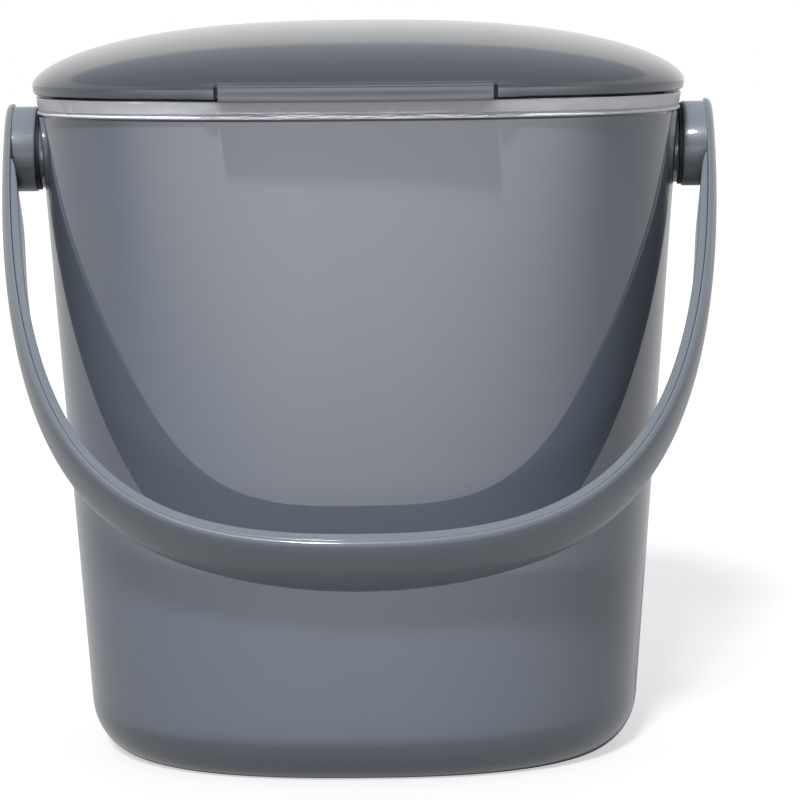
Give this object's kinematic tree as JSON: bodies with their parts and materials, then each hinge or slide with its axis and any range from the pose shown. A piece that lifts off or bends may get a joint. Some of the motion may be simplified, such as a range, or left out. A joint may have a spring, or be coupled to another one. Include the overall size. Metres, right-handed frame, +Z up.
{
  "type": "compost caddy",
  "caption": "Countertop compost caddy with drafted rounded-square bin, light rim collar, domed hinged lid with front lip and swinging bail handle.",
  "frame": {"origin": "on the ground under the middle of the bin's body, between the two pivots", "axes": "+X to the right seen from the front, -Y the front with the lid's lip, +Z up"},
  "size_m": [0.2476, 0.2339, 0.2521],
  "materials": {
    "bin_plastic": "glossy charcoal moulded plastic",
    "collar_plastic": "glossy light grey moulded plastic",
    "lid_plastic": "glossy charcoal moulded plastic",
    "panel_plastic": "satin charcoal moulded plastic",
    "seal_rubber": "matte black soft seal",
    "pin_steel": "plain drawn steel",
    "handle_plastic": "semi-gloss charcoal moulded plastic",
    "pivot_plastic": "dark acetal",
    "washer_plastic": "black plastic"
  },
  "bodies": {
    "base": {"body": "bin_plastic", "rim_collar": "collar_plastic", "hinge_pin": "pin_steel", "pivot_pin_left": "pivot_plastic", "pivot_pin_right": "pivot_plastic", "pivot_washer_left": "washer_plastic", "pivot_washer_right": "washer_plastic"},
    "lid": {"lid_shell": "lid_plastic", "lid_inner_panel": "panel_plastic", "lid_seal": "seal_rubber"},
    "handle": {"handle_shell": "handle_plastic", "handle_cover": "handle_plastic"}
  },
  "joints": [
    {"name": "lid_hinge", "type": "hinge", "parent": "base", "child": "lid", "pos_m": [0, 0.1098, 0.2215], "axis": [-1, 0, 0], "range_deg": [0, 105]},
    {"name": "handle_swing", "type": "hinge", "parent": "base", "child": "handle", "pos_m": [0, 0, 0.2083], "axis": [-1, 0, 0], "range_deg": [0, 280]}
  ]
}
